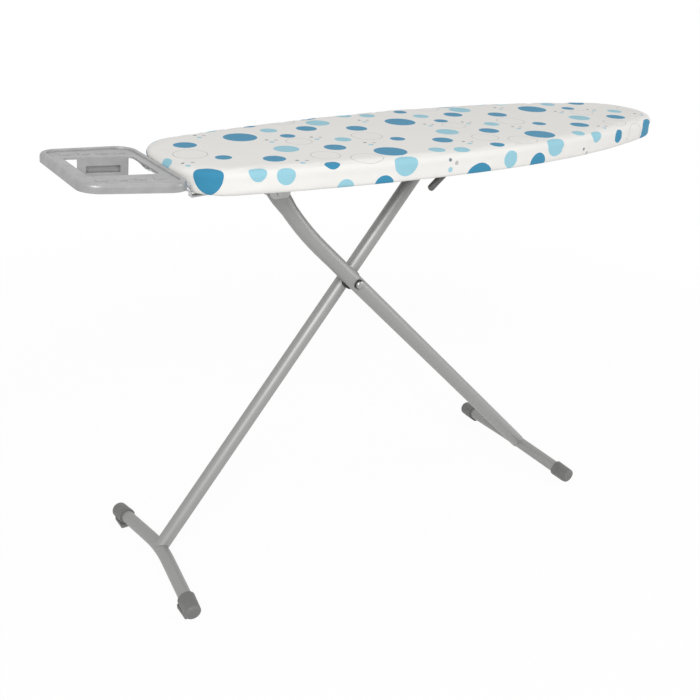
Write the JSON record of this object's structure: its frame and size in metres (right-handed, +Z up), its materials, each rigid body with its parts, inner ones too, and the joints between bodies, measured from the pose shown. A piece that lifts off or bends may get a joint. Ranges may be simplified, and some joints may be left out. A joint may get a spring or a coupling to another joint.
{
  "type": "ironing board",
  "caption": "Free-standing folding ironing board with a padded dotted cover, crossed tube legs on bowed T feet, an open iron rest and a height release lever.",
  "frame": {"origin": "on the floor, under the middle of the whole board with its iron rest", "axes": "+X along the board to its round nose, +Y away from the side with the release lever, +Z up"},
  "size_m": [1.2632, 0.375, 0.7838],
  "materials": {
    "cover_cloth": "matte woven cotton with a common dot print",
    "felt": "matte needled felt",
    "silver_paint": "satin silver-grey paint",
    "plate_paint": "satin grey paint",
    "zinc": "satin zinc",
    "dark_plastic": "matte dark grey",
    "black_plastic": "matte black",
    "rest_plastic": "satin silver-grey moulded plastic",
    "white_plastic": "natural nylon",
    "chrome": "bright drawn wire"
  },
  "bodies": {
    "board": {"cover": "cover_cloth", "pad": "felt", "top_plate": "plate_paint", "rear_brace": "plate_paint", "front_brace": "plate_paint", "slide_rail": "zinc", "hinge_bracket": "zinc", "hinge_pin": "zinc", "hinge_washers": "white_plastic", "rail_rivets": "zinc", "bracket_rivets": "zinc", "brace_rivets": "zinc", "lever_bearing": "black_plastic", "bearing_rivets": "zinc", "rack_stud": "zinc", "rack_spring": "zinc", "spring_rivet": "zinc", "rest_tray": "rest_plastic", "rest_wires": "chrome", "rest_clamps": "black_plastic", "rest_clamp_screws": "zinc", "rest_saddles": "rest_plastic"},
    "leg_b": {"leg_b_tube": "silver_paint", "leg_b_foot_bar": "silver_paint", "leg_b_cap_near": "dark_plastic", "leg_b_cap_far": "dark_plastic", "pivot_bolt": "zinc", "pivot_saddle": "black_plastic", "pivot_spacer": "black_plastic", "pivot_washer": "black_plastic", "pivot_nut": "zinc"},
    "leg_a": {"leg_a_tube": "silver_paint", "leg_a_foot_bar": "silver_paint", "leg_a_cap_near": "dark_plastic", "leg_a_cap_far": "dark_plastic", "leg_a_plug": "black_plastic", "slide_pin": "zinc", "slide_bushes": "white_plastic", "pin_clip": "zinc"},
    "lever": {"lever_rod": "zinc", "lever_grip": "dark_plastic", "lever_crank": "zinc"},
    "rack": {"height_rack": "zinc"}
  },
  "joints": [
    {"name": "leg_fold", "type": "hinge", "parent": "board", "child": "leg_b", "pos_m": [-0.27355, -0.0321, 0.712], "axis": [0, -1, 0], "range_deg": [0, 46]},
    {"name": "leg_cross", "type": "hinge", "parent": "leg_b", "child": "leg_a", "pos_m": [-0.10343, 0, 0.5168], "axis": [0, 1, 0], "range_deg": [0, 93.8]},
    {"name": "lever_lift", "type": "hinge", "parent": "board", "child": "lever", "pos_m": [0.02546, 0, 0.7532], "axis": [0, 1, 0], "range_deg": [0, 26], "stiffness_Nm_per_rad": 0.8},
    {"name": "rack_lift", "type": "hinge", "parent": "board", "child": "rack", "pos_m": [0.26702, 0.01925, 0.7265], "axis": [0, 1, 0], "range_deg": [0, 2.69], "deforming": ["rack_spring"]}
  ],
  "couplings": [
    {"joint": "leg_cross", "follows": "leg_fold", "ratio": 2.0364},
    {"joint": "rack_lift", "follows": "lever_lift", "ratio": 0.10232}
  ]
}
